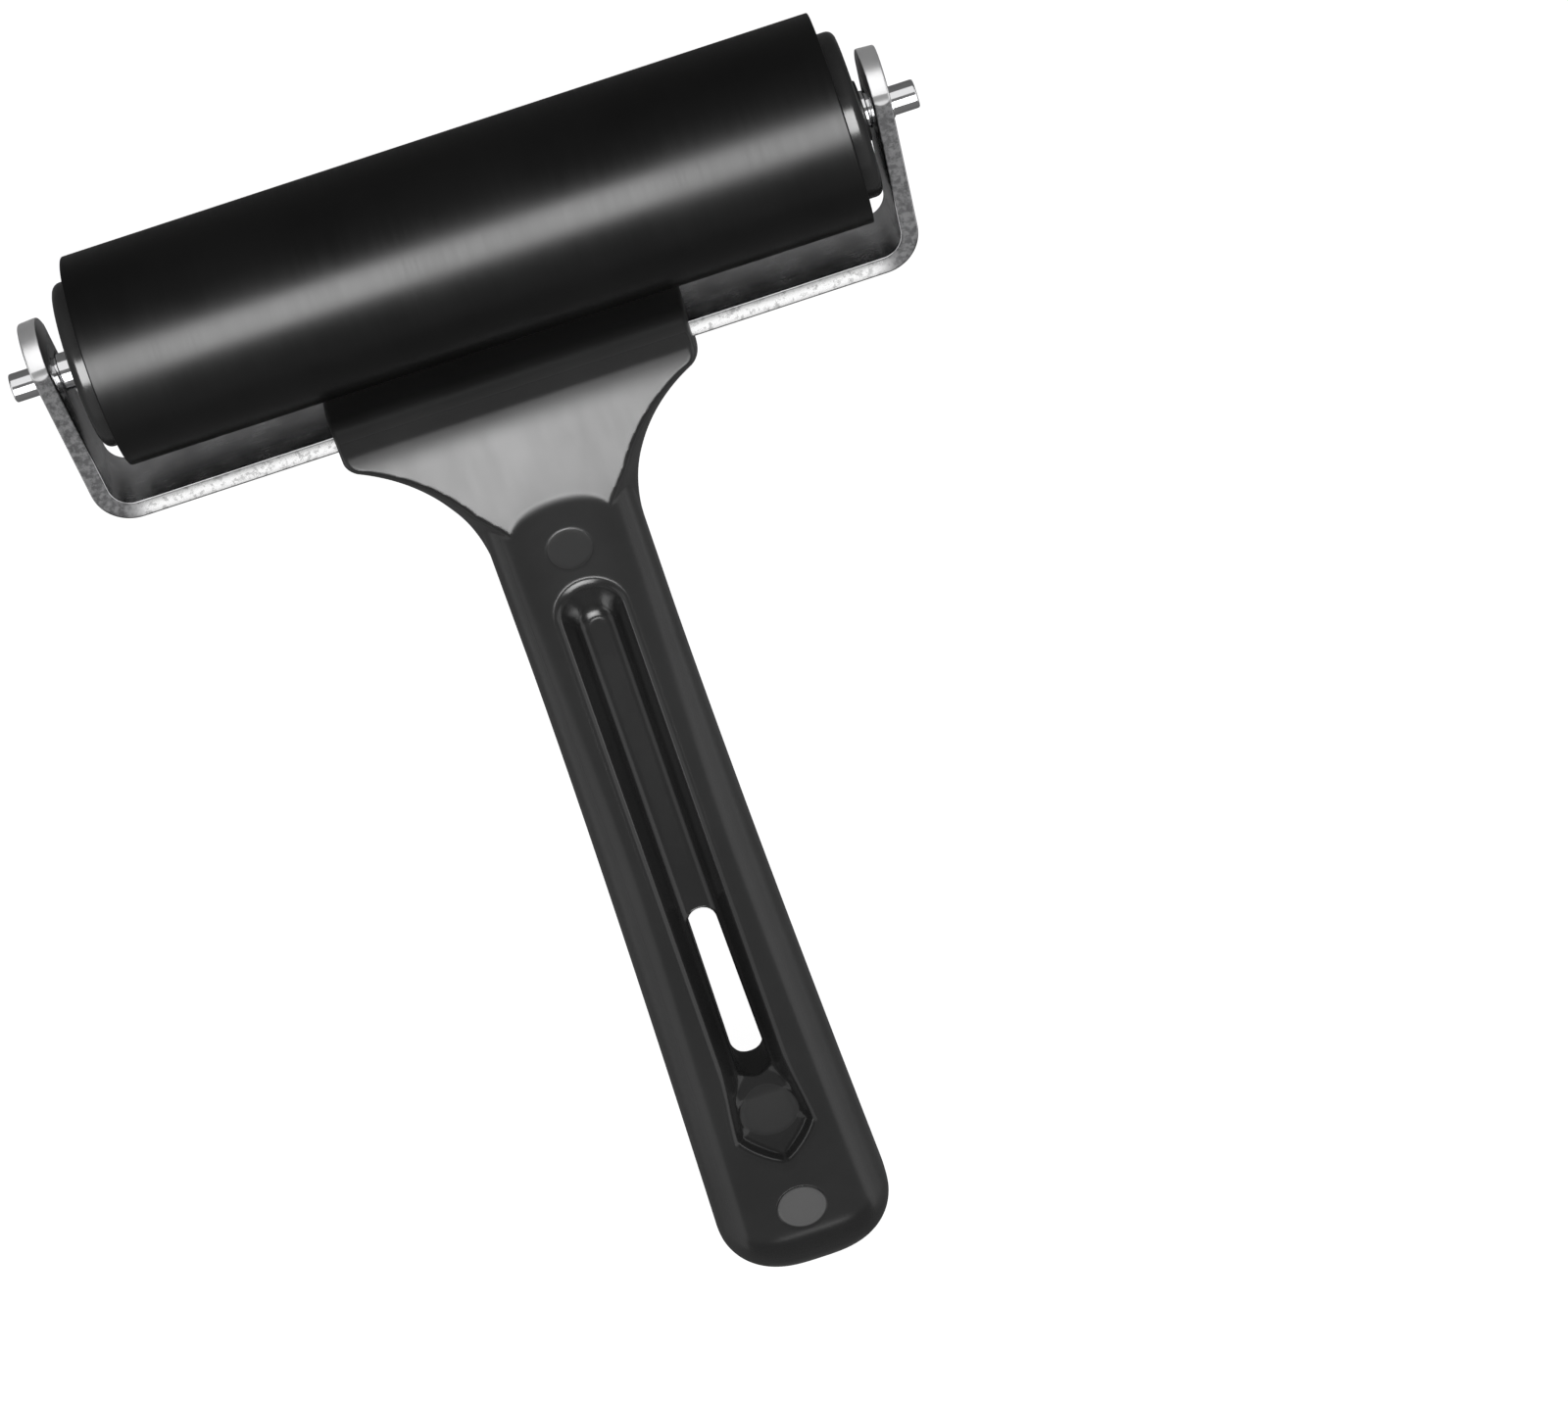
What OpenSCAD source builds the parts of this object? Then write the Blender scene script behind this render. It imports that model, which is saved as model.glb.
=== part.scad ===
// Rubber brayer: a rubber-covered roller turning on a fixed steel axle,
// carried by a bent steel strip whose middle is moulded into a plastic handle.
//
// Frame: +X along the axle, the handle runs toward -Y, +Z is the side the
// handle's channel faces first. The origin is on the roller's axis, midway
// between the two ears of the yoke. Millimetres.

/* [Roller] */
// Length of the rubber sleeve
roller_len = 100; // [60:1:150]
// Outside diameter of the rubber sleeve
roller_d = 28; // [27:0.5:29]
// Thickness of the rubber
rubber_wall = 3; // [2:0.5:4]
// Thickness of the plastic core tube's wall
core_wall = 2; // [1.5:0.25:2.5]
// How far each end cap stands out past the rubber
cap_out = 2.4; // [1.5:0.1:3]
// Radius of the rounded rim of each end cap
cap_rim_r = 1.1; // [0.4:0.1:1.4]
// How deep each end cap plugs into the core tube
cap_plug = 12; // [6:1:20]
// Where the roller sits along the axle in its end float
roller_shift = 0.6; // [0:0.1:0.7]

/* [Axle] */
// Diameter of the axle between the ears
axle_d = 5; // [4.5:0.1:6]
// Diameter of the turned-down seats that sit in the ears
seat_d = 4.2; // [4.1:0.1:4.4]
// Diameter of the axle's free ends outside the ears
stub_d = 3.8; // [3:0.1:3.8]
// How far each axle end stands out past its ear
stub_out = 3.9; // [2:0.1:6]
// Chamfer on the axle's tips
stub_chamfer = 0.4; // [0.1:0.1:0.8]
// Running clearance between the end caps and the axle, on the radius
run_gap = 0.06; // [0.03:0.01:0.09]

/* [Washers] */
// Outside diameter of the thrust washers
washer_d = 8; // [7:0.5:10]
// Thickness of the thrust washers
washer_t = 0.6; // [0.4:0.1:0.6]

/* [Yoke] */
// Width of the steel strip
strip_w = 13; // [11:0.5:14]
// Thickness of the steel strip
strip_t = 2.4; // [2:0.1:2.6]
// Free space between each ear and its end cap, with the roller centred
ear_gap = 2.05; // [1.9:0.05:2.5]
// Distance from the axle to the outer face of the strip's middle run
bar_back = 20; // [19.5:0.5:21]
// Lean of each arm, outward from the middle run to the ear
arm_lean = 4; // [0:0.5:5]
// Inside radius of the two bends
bend_r = 3; // [2:0.5:5]
// Radius of the rounded end of each ear, centred on the axle
ear_r = 7.7; // [7:0.1:9]
// Diameter of the holes that lock the strip into the handle
lock_d = 4; // [3:0.5:5]
// Distance between those holes
lock_pitch = 24; // [16:1:30]

/* [Handle head] */
// Width of the head along the strip
head_w = 48.6; // [44:0.5:60]
// Thickness of the head across the strip
head_t = 19; // [17:0.5:20]
// Plastic between the strip and the head's roller side
head_cover = 2; // [1.5:0.1:2]
// Radius of the head's long upper edges
head_edge_r = 5; // [3:0.5:5.5]
// Length of the head's straight flanks
flank_len = 7.8; // [6:0.2:8]

/* [Handle grip] */
// Distance from the axle to the tip of the handle
handle_reach = 172; // [168:1:185]
// Width of the grip at the neck
neck_w = 20.8; // [19:0.2:23]
// Width of the grip at its wide tail
tail_w = 26; // [24:0.5:30]
// Thickness of the grip
grip_t = 14.6; // [13:0.2:15]
// Distance from the axle to the neck, where the flared head ends
neck_at = 44.5; // [42:0.5:47]

/* [Channel and hanging slot] */
// Distance from the axle to the channel's head end
channel_from = 49; // [48:0.5:60]
// Distance from the axle to the channel's tail end
channel_to = 150; // [140:0.5:151]
// Width of the channel at its head end
channel_w1 = 8; // [6:0.5:9]
// Width of the channel at its tail end
channel_w2 = 10; // [7:0.5:12]
// Thickness of the web left between the two channels
web_t = 5.7; // [4:0.1:8]
// Distance from the axle to the slot's head end
slot_from = 106.6; // [95:0.2:110]
// Distance from the axle to the slot's tail end
slot_to = 136.5; // [128:0.5:137]
// Width of the slot at its head end
slot_w1 = 4; // [3:0.1:5]
// Width of the slot at its tail end
slot_w2 = 4.8; // [3:0.1:5]

/* [Hidden] */

$fn = 96;
eps = 0.01;

// Roller
core_r = roller_d / 2 - rubber_wall;
core_bore_r = core_r - core_wall;
cap_face_x = roller_len / 2 + cap_out;
cap_bore_r = axle_d / 2 + run_gap;
hub_wall = 3.5;
cap_hub_r = axle_d / 2 + hub_wall;
cap_relief = cap_plug - 2 * core_wall;

// Yoke
ear_in_x = cap_face_x + ear_gap;
ear_out_x = ear_in_x + strip_t / cos(arm_lean);
bend_out_r = bend_r + strip_t;
bend_y = bend_out_r - bar_back;
bend_x = ear_out_x - bend_out_r * cos(arm_lean)
         - tan(arm_lean) * (bend_out_r * sin(arm_lean) - bend_y);
arm_len = bar_back + ear_r;
bar_in_y = strip_t - bar_back;
shoulder_gap = 0.24;
shoulder_x = ear_in_x - shoulder_gap;
seat_out = 0.5;
seat_x = ear_out_x + seat_out;
tip_x = ear_out_x + stub_out;
washer_gap = 0.05;
washer_x = cap_face_x + washer_gap;

// Handle
head_top_y = bar_in_y + head_cover;
flank_y = head_top_y - flank_len;
flare_dx = (head_w - neck_w) / 2;
flare_dy = neck_at + flank_y;
flare_r = (flare_dx * flare_dx + flare_dy * flare_dy) / (2 * flare_dx);
side_r = grip_t / 2;
facet_drop = 0.9;
tail_corner_r = 8.5;
grip_top_y = -30;
rail_step = 0.15;
mark_depth = 0.3;
neck_mark_r = 3;
neck_mark_at = neck_at - 0.9;
channel_mark_r = 4.4;
channel_mark_at = channel_to - 8;
tail_mark_r = 3.4;
tail_mark_at = handle_reach - 13.8;

// ---- Shapes shared by the pieces ----

// A cylinder along +X that starts at x
module rod_x(x, r, len) {
    translate([x, 0, 0])
        rotate([0, 90, 0])
            cylinder(r = r, h = len);
}

// A flat shape drawn in (y, z) and given a thickness along X, centred
module slab_x(len) {
    rotate([90, 0, 90])
        linear_extrude(len, center = true)
            children();
}

// A long round-ended outline along -Y, from one distance to another
module long_oval(from, to, w1, w2) {
    y1 = -from - w1 / 2;
    y2 = -to + w2 / 2;
    translate([0, y1])
        circle(r = w1 / 2);
    translate([0, y2])
        circle(r = w2 / 2);
    polygon([[-w1 / 2, y1], [w1 / 2, y1], [w2 / 2, y2], [-w2 / 2, y2]]);
}

// ---- Roller ----

module rubber_sleeve() {
    color("#232326")
        translate([roller_shift, 0, 0])
            difference() {
                rod_x(-roller_len / 2, roller_d / 2, roller_len);
                rod_x(-roller_len / 2 - eps, core_r, roller_len + 2 * eps);
            }
}

module roller_core() {
    color("#8a8a8c")
        translate([roller_shift, 0, 0])
            difference() {
                rod_x(-roller_len / 2, core_r, roller_len);
                rod_x(-roller_len / 2 - eps, core_bore_r, roller_len + 2 * eps);
            }
}

// One end cap's half section, turned about the axle. The flange closes the
// core tube, the skirt plugs into it and the hub runs on the axle.
module end_cap_body() {
    flange_in = roller_len / 2;
    plug_in = flange_in - cap_plug;
    rotate([0, 90, 0])
        rotate_extrude()
            difference() {
                union() {
                    translate([cap_bore_r, plug_in])
                        square([core_bore_r - cap_bore_r, cap_plug]);
                    translate([cap_bore_r, flange_in])
                        square([core_r - cap_bore_r, cap_out - cap_rim_r]);
                    translate([cap_bore_r, flange_in])
                        square([core_r - cap_rim_r - cap_bore_r, cap_out]);
                    translate([core_r - cap_rim_r, cap_face_x - cap_rim_r])
                        circle(r = cap_rim_r);
                }
                translate([cap_hub_r, plug_in - eps])
                    square([core_bore_r - core_wall - cap_hub_r, cap_relief + eps]);
            }
}

module left_end_cap() {
    color("#37373a")
        translate([roller_shift, 0, 0])
            mirror([1, 0, 0])
                end_cap_body();
}

module right_end_cap() {
    color("#37373a")
        translate([roller_shift, 0, 0])
            end_cap_body();
}

// ---- Axle and washers ----

// The thick middle stops against the ears, so the sprung yoke holds it.
module axle() {
    color("#d9dadd") {
        rod_x(-shoulder_x, axle_d / 2, 2 * shoulder_x);
        rod_x(-seat_x, seat_d / 2, 2 * seat_x);
        rod_x(stub_chamfer - tip_x, stub_d / 2, 2 * (tip_x - stub_chamfer));
        for (side = [-1, 1])
            rotate([0, side * 90, 0])
                translate([0, 0, tip_x - stub_chamfer])
                    cylinder(r1 = stub_d / 2, r2 = stub_d / 2 - stub_chamfer, h = stub_chamfer);
    }
}

module thrust_washer_body() {
    difference() {
        rod_x(washer_x, washer_d / 2, washer_t);
        rod_x(washer_x - eps, axle_d / 2, washer_t + 2 * eps);
    }
}

module left_thrust_washer() {
    color("#1c1c1e")
        translate([roller_shift, 0, 0])
            mirror([1, 0, 0])
                thrust_washer_body();
}

module right_thrust_washer() {
    color("#1c1c1e")
        translate([roller_shift, 0, 0])
            thrust_washer_body();
}

// ---- Yoke ----

// The right half of the bent strip, drawn flat in (x, y)
module strip_half() {
    reach = 2 * bend_out_r;
    translate([0, -bar_back])
        square([bend_x, strip_t]);
    translate([bend_x, bend_y]) {
        intersection() {
            difference() {
                circle(r = bend_out_r);
                circle(r = bend_r);
            }
            polygon([[0, 0], [0, -reach], [reach, -reach], [reach, -reach * tan(arm_lean)]]);
        }
        rotate(-arm_lean)
            translate([bend_r, 0])
                square([strip_t, arm_len]);
    }
}

// The strip seen end-on, drawn in (y, z): straight edges and a round ear
module ear_outline() {
    intersection() {
        union() {
            translate([-bar_back - ear_r, -ear_r])
                square([bar_back + ear_r, 2 * ear_r]);
            circle(r = ear_r);
        }
        translate([-2 * bar_back, -strip_w / 2])
            square([4 * bar_back, strip_w]);
    }
}

module yoke() {
    color("#b9bcc0")
        difference() {
            intersection() {
                linear_extrude(strip_w, center = true) {
                    strip_half();
                    mirror([1, 0])
                        strip_half();
                }
                slab_x(3 * ear_out_x)
                    ear_outline();
            }
            rod_x(-tip_x, seat_d / 2, 2 * tip_x);
            for (side = [-1, 1])
                translate([side * lock_pitch / 2, bar_in_y + eps, 0])
                    rotate([90, 0, 0])
                        cylinder(r = lock_d / 2, h = strip_t + 2 * eps);
        }
}

// ---- Handle ----

// The head from the front: straight flanks, then a concave flare to the neck
module head_plan() {
    difference() {
        translate([-head_w / 2, -neck_at])
            square([head_w, neck_at + head_top_y]);
        for (side = [-1, 1])
            translate([side * (neck_w / 2 + flare_r), -neck_at])
                circle(r = flare_r);
    }
}

// The head from the side: rounded upper edges, then flat faces that close
// down to the grip
module head_side() {
    z_mid = head_t / 2 - head_edge_r;
    y_mid = head_top_y - head_edge_r;
    for (side = [-1, 1])
        translate([y_mid, side * z_mid])
            circle(r = head_edge_r);
    polygon([[head_top_y, z_mid], [head_top_y, -z_mid],
             [y_mid, -head_t / 2], [-neck_at, facet_drop - side_r],
             [-neck_at, side_r - facet_drop], [y_mid, head_t / 2]]);
}

// Two round-edged rails and the flat web that joins them
module grip_bar() {
    x1 = neck_w / 2 - side_r;
    x2 = tail_w / 2 - side_r;
    run = handle_reach + grip_top_y;
    spread = atan((x2 - x1) / run);
    for (side = [-1, 1])
        translate([side * x1, grip_top_y, 0])
            rotate([90, 0, side * spread])
                cylinder(r = side_r, h = run / cos(spread));
    linear_extrude(grip_t - 2 * rail_step, center = true)
        polygon([[-x1, grip_top_y], [x1, grip_top_y], [x2, -handle_reach], [-x2, -handle_reach]]);
}

// The tail from the front, a little wider than the grip: two round corners
module tail_plan() {
    half = tail_w / 2 + rail_step;
    y = tail_corner_r - handle_reach;
    for (side = [-1, 1])
        translate([side * (half - tail_corner_r), y])
            circle(r = tail_corner_r);
    translate([-half, y])
        square([2 * half, -y]);
    translate([tail_corner_r - half, -handle_reach])
        square([2 * (half - tail_corner_r), tail_corner_r]);
}

// The tail from the side: one full round end, a little thicker than the grip
module tail_side() {
    r = side_r + rail_step;
    translate([r - handle_reach, 0])
        circle(r = r);
    translate([r - handle_reach, -r])
        square([handle_reach - r, 2 * r]);
}

module grip_body() {
    intersection() {
        grip_bar();
        linear_extrude(2 * grip_t, center = true)
            tail_plan();
        slab_x(2 * tail_w)
            tail_side();
    }
}

// A shallow round mark left by the mould, sunk into the face at height z
module round_mark(at, r, z) {
    translate([0, -at, z - mark_depth])
        cylinder(r = r, h = grip_t);
}

module handle_cuts() {
    for (turn = [0, 180])
        rotate([0, turn, 0]) {
            translate([0, 0, web_t / 2])
                linear_extrude(grip_t)
                    long_oval(channel_from, channel_to, channel_w1, channel_w2);
            round_mark(tail_mark_at, tail_mark_r, side_r - rail_step);
            round_mark(neck_mark_at, neck_mark_r, side_r - rail_step);
            round_mark(channel_mark_at, channel_mark_r, web_t / 2);
        }
    linear_extrude(2 * grip_t, center = true)
        long_oval(slot_from, slot_to, slot_w1, slot_w2);
    // The pocket that the strip's middle run fills
    translate([-head_w, -bar_back, -strip_w / 2])
        cube([2 * head_w, strip_t, strip_w]);
}

module handle() {
    color("#3a3a3d") {
        difference() {
            union() {
                intersection() {
                    linear_extrude(2 * head_t, center = true)
                        head_plan();
                    slab_x(2 * head_w)
                        head_side();
                }
                grip_body();
            }
            handle_cuts();
        }
        for (side = [-1, 1])
            translate([side * lock_pitch / 2, bar_in_y, 0])
                rotate([90, 0, 0])
                    cylinder(r = lock_d / 2, h = strip_t);
    }
}

rubber_sleeve();
roller_core();
left_end_cap();
right_end_cap();
axle();
left_thrust_washer();
right_thrust_washer();
yoke();
handle();
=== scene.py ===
"""Rubber brayer: the looks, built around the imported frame.

Every visible piece is rebuilt here as a finished mesh with a procedural material.
Shapes are worked out in millimetres, in the CAD frame, and turned into metres
when a mesh is made. In the handle, s runs from the axle down to the tail.
"""

import math

import bmesh
import bpy
import numpy as np
from mathutils import Matrix, Vector


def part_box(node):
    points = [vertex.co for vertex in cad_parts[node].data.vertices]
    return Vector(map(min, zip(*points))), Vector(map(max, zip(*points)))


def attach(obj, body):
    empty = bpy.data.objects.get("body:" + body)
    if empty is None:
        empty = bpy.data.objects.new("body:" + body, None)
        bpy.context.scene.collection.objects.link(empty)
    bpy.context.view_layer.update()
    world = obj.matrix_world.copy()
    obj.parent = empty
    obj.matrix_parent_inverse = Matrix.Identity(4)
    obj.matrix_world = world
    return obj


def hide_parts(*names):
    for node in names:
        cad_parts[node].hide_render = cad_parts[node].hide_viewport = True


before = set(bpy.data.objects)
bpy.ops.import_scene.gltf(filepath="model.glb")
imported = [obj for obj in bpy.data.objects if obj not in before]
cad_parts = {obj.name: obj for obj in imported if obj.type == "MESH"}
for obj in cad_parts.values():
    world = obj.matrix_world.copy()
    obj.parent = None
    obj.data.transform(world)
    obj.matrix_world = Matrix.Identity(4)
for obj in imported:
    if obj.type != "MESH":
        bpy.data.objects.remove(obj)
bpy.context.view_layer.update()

MM = 0.001
SHARP_ANGLE = math.radians(44)


def box_mm(node):
    low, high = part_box(node)
    return np.array(low) / MM, np.array(high) / MM


# ---------------------------------------------------------------- dimensions

SLEEVE_LOW, SLEEVE_HIGH = box_mm("rubber_sleeve")
CAP_HIGH = box_mm("right_end_cap")[1]
AXLE_HIGH = box_mm("axle")[1]
WASHER_LOW, WASHER_HIGH = box_mm("right_thrust_washer")
YOKE_LOW, YOKE_HIGH = box_mm("yoke")
HANDLE_LOW, HANDLE_HIGH = box_mm("handle")

# Roller
ROLLER_X = (SLEEVE_LOW[0] + SLEEVE_HIGH[0]) / 2
ROLLER_HALF = (SLEEVE_HIGH[0] - SLEEVE_LOW[0]) / 2
ROLLER_R = SLEEVE_HIGH[2]
CAP_R = CAP_HIGH[2]
CAP_FACE = CAP_HIGH[0] - ROLLER_X
CAP_DEPTH = 12.0
CAP_RIM_R = 1.1
CAP_BORE_R = AXLE_HIGH[2] + 0.06
CORE_WALL = 2.0

# Axle and washers
AXLE_R = AXLE_HIGH[2]
STUB_R = 1.9
SEAT_R = 2.1
SEAT_OUT = 0.5
AXLE_TIP = AXLE_HIGH[0]

# Yoke
STRIP_T = 2.4
STRIP_HALF = YOKE_HIGH[2]
ARM_LEAN = math.radians(4.0)
BEND_R = 3.0
EAR_R = YOKE_HIGH[1]
BAR_OUT_Y = YOKE_LOW[1]
ARRIS_R = 0.32

# Handle: a flared head, a grip that widens to the tail, a finger channel on both faces and a slot
REACH = -HANDLE_LOW[1]
HEAD_TOP = -HANDLE_HIGH[1]
HEAD_HALF = HANDLE_HIGH[0]
HEAD_Z = HANDLE_HIGH[2]
GRIP_Z = 7.3
NECK_HALF = 10.45
TAIL_HALF = 12.95
NECK_AT = 47.0
FLANK_AT = 24.6
FACET_FROM = 18.6
FACET_SLOPE = 0.1255
TAIL_LEN = 11.5
FLARE_DX = HEAD_HALF - NECK_HALF
FLARE_DY = NECK_AT - FLANK_AT
FLARE_R = (FLARE_DX**2 + FLARE_DY**2) / (2 * FLARE_DX)
FLARE_BOW = 2.8
NECK_BOW = 1.7
FLANK_BOW = 0.6
HEAD_TOP_R = 4.2
HEAD_CORNER_R = 1.4
HEAD_EDGE_R = 0.5
GRIP_SECTION = (48.0, 100.0)
GRIP_SQUARE = 4.8
GRIP_SOFTER = 1.5
NECK_CROWN = 0.005
TAIL_ROUND = 2.15
CHANNEL_FROM = 49.0
CHANNEL_TO = 150.2
CHANNEL_HALF = 4.45
CHANNEL_END_HALF = 4.6
CHANNEL_FLOOR = 2.85
CHANNEL_SHELF = 4.7
CHANNEL_FLARE = 0.45
CHANNEL_POINT = 5.8
CHANNEL_POINT_POWER = 1.2
CHANNEL_FLOOR_R = 1.1
CHANNEL_RIM_R = 0.8
HEAD_END_SLOPE = 1.15
SLOT_FROM = 106.6
SLOT_TO = 136.5
SLOT_HALF = 2.0
SLOT_WIDENS = 0.4
SLOT_RIM_R = 0.35


# ------------------------------------------------------------ signed shapes
# A shape is a number at each point: below zero inside, above zero outside,
# and close to the distance from its surface in millimetres.


def both(a, b, r):
    """Inside a and b, with the edge between them rounded to radius r."""
    u = np.maximum(a + r, 0.0)
    v = np.maximum(b + r, 0.0)
    return np.minimum(-r, np.maximum(a, b)) + np.sqrt(u * u + v * v)


def either(a, b, r):
    """Inside a or b, with the crease between them filled to radius r."""
    return -both(-a, -b, r)


def soft_max(a, b, k):
    """The larger of a and b, blended where they differ by less than k."""
    h = np.maximum(k - np.abs(a - b), 0.0) / k
    return np.maximum(a, b) + h * h * k / 4


def smooth(lo, hi, t):
    """0 below lo, 1 above hi, and a smooth step between."""
    t = np.clip((t - lo) / (hi - lo), 0.0, 1.0)
    return t * t * (3.0 - 2.0 * t)


def run_distance(ax, s, s1, s2):
    """Distance, seen from the front, from the middle line between s1 and s2."""
    over = np.maximum(np.maximum(s1 - s, s - s2), 0.0)
    return np.sqrt(ax * ax + over * over)


def head_field(ax, s, az):
    """The head: arcs at both sides, a sloped facet on both faces and a rounded top edge."""
    from_arc = np.hypot(NECK_HALF + FLARE_R - ax, np.maximum(NECK_AT - s, 0.0))
    facet = HEAD_Z - FACET_SLOPE * (s - FACET_FROM)
    bow = np.clip(az / np.maximum(facet, 3.0), 0.0, 1.3) ** 2
    side = FLARE_R - from_arc + 0.1 * np.maximum(s - NECK_AT, 0.0)
    side = side + (FLARE_BOW + NECK_BOW * smooth(34.0, 41.0, s)) * bow
    flank = ax - HEAD_HALF + FLANK_BOW * bow
    plan = both(side, flank, HEAD_CORNER_R)
    face = soft_max(az - HEAD_Z, az - facet, 0.8)
    profile = both(HEAD_TOP - s, face, HEAD_TOP_R)
    return both(plan, profile, HEAD_EDGE_R)


def grip_half(s):
    """Half of the grip's width, from the neck to the tail."""
    t = np.clip((s - 60.0) / (REACH - 9.0 - 60.0), 0.0, 1.0)
    return NECK_HALF + (TAIL_HALF - NECK_HALF) * t**1.5


def grip_field(ax, s, az):
    """The grip: a squarish oval that gets rounder away from the neck, with a domed tail."""
    away = smooth(*GRIP_SECTION, s)
    p = GRIP_SQUARE - GRIP_SOFTER * away
    m = TAIL_ROUND
    crown = az + NECK_CROWN * ax * ax * (1.0 - away)
    ring = ((ax / grip_half(s)) ** p + (crown / GRIP_Z) ** p) ** (1 / p)
    end = np.maximum(s - (REACH - TAIL_LEN), 0.0) / TAIL_LEN
    return np.maximum(((ring**m + end**m) ** (1 / m) - 1.0) * GRIP_Z, 30.0 - s)


def channel_field(ax, s, az):
    """The finger channel: sloped walls, a slope at its head end, a shelf and a pointed end past the slot."""
    t = np.clip((s - CHANNEL_FROM) / (CHANNEL_TO - CHANNEL_FROM), 0.0, 1.0)
    flare = CHANNEL_FLARE + 0.15 * t
    floor = CHANNEL_FLOOR + 0.5 * t
    half = CHANNEL_HALF + 0.35 * t + 1.2 * smooth(131.0, 146.0, s) - (GRIP_Z - az) * flare
    ramp = HEAD_END_SLOPE * np.clip(GRIP_Z - az, 0.0, GRIP_Z - CHANNEL_FLOOR)
    line = run_distance(ax, s, CHANNEL_FROM + CHANNEL_END_HALF + ramp, CHANNEL_TO)
    past = np.clip(s - (CHANNEL_TO - CHANNEL_POINT), 0.0, None)
    power = CHANNEL_POINT_POWER
    line = np.maximum(line, (ax**power + past**power) ** (1 / power))
    wall = (line - half) / np.hypot(1.0, flare)
    rise = (CHANNEL_SHELF - floor) * smooth(SLOT_TO - 0.2, SLOT_TO + 2.6, s)
    return both(wall, floor + rise - az, CHANNEL_FLOOR_R)


def slot_field(ax, s):
    """The hanging slot, a little wider at its tail end."""
    t = np.clip((s - SLOT_FROM) / (SLOT_TO - SLOT_FROM), 0.0, 1.0)
    line = run_distance(ax, s, SLOT_FROM + SLOT_HALF, SLOT_TO - SLOT_HALF - SLOT_WIDENS)
    return line - (SLOT_HALF + SLOT_WIDENS * t)


# Round marks left by the mould: distance along the handle, radius, sink, how pale the mark is
MARKS = {
    "neck": (43.6, 3.0, 0.06, 0.014),
    "shelf": (142.0, 4.3, 0.12, 0.03),
    "tail": (158.2, 3.5, 0.30, 0.14),
}


def handle_field(x, y, z):
    """The whole moulding, the same on both faces."""
    ax, s, az = np.abs(x), -y, np.abs(z)
    body = either(head_field(ax, s, az), grip_field(ax, s, az), 0.1)
    body = both(body, -channel_field(ax, s, az), CHANNEL_RIM_R)
    body = both(body, -slot_field(ax, s), SLOT_RIM_R)
    for at, r, sink, _ in MARKS.values():
        away = np.sqrt(ax * ax + (s - at) ** 2)
        body = body + sink * (1.0 - smooth(r - 0.25, r + 0.25, away)) * (az > 2.0)
    return body


def surface_mesh(field, low, high, step):
    """Vertices and quads of the surface where field is zero (surface nets)."""
    axes = [np.arange(a, b + step, step) for a, b in zip(low, high)]
    grid = np.meshgrid(*axes, indexing="ij")
    value = field(*grid).astype(np.float32)
    total = np.zeros([n - 1 for n in value.shape] + [3], np.float32)
    count = np.zeros([n - 1 for n in value.shape], np.int32)
    quads = []
    crossings = []
    for axis in range(3):
        first = [slice(None)] * 3
        second = [slice(None)] * 3
        first[axis] = slice(None, -1)
        second[axis] = slice(1, None)
        a, b = value[tuple(first)], value[tuple(second)]
        at = np.argwhere((a < 0) != (b < 0))
        va, vb = a[tuple(at.T)], b[tuple(at.T)]
        point = at.astype(np.float32)
        point[:, axis] += va / (va - vb)
        crossings.append((axis, at, va < 0))
        u, v = (axis + 1) % 3, (axis + 2) % 3
        for du in (0, -1):
            for dv in (0, -1):
                cell = at.copy()
                cell[:, u] += du
                cell[:, v] += dv
                ok = np.all((cell >= 0) & (cell < np.array(count.shape)), axis=1)
                key = tuple(cell[ok].T)
                np.add.at(total, key, point[ok])
                np.add.at(count, key, 1)
    used = count > 0
    index = np.full(count.shape, -1, np.int64)
    index[used] = np.arange(used.sum())
    verts = total[used] / count[used][:, None] * step + np.array(low, np.float32)
    for axis, at, starts_inside in crossings:
        u, v = (axis + 1) % 3, (axis + 2) % 3
        corner = []
        for du, dv in ((0, 0), (-1, 0), (-1, -1), (0, -1)):
            cell = at.copy()
            cell[:, u] += du
            cell[:, v] += dv
            corner.append(index[tuple(cell.T)])
        quad = np.stack(corner, axis=1)
        quad[~starts_inside] = quad[~starts_inside][:, ::-1]
        quads.append(quad)
    return verts.astype(np.float64), np.concatenate(quads)


def settle(verts, field, rounds=3, h=0.02):
    """Moves each vertex along the field's gradient, onto the exact surface."""
    for _ in range(rounds):
        f = field(*verts.T)
        grad = np.zeros_like(verts)
        for k in range(3):
            step = np.zeros(3)
            step[k] = h
            grad[:, k] = (field(*(verts + step).T) - field(*(verts - step).T)) / (2 * h)
        size = np.maximum((grad**2).sum(1), 0.05)
        move = -(f / size)[:, None] * grad
        length = np.linalg.norm(move, axis=1)[:, None]
        verts = verts + move * np.minimum(1.0, 0.12 / np.maximum(length, 1e-9))
    return verts


def new_object(name, verts_mm, faces):
    """A smooth-shaded object, with its corners kept sharp."""
    mesh = bpy.data.meshes.new(name)
    mesh.from_pydata((np.asarray(verts_mm) * MM).tolist(), [], [list(f) for f in faces])
    mesh.validate()
    mesh.update()
    for poly in mesh.polygons:
        poly.use_smooth = True
    mesh.set_sharp_from_angle(angle=SHARP_ANGLE)
    obj = bpy.data.objects.new(name, mesh)
    bpy.context.scene.collection.objects.link(obj)
    return obj


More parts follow.
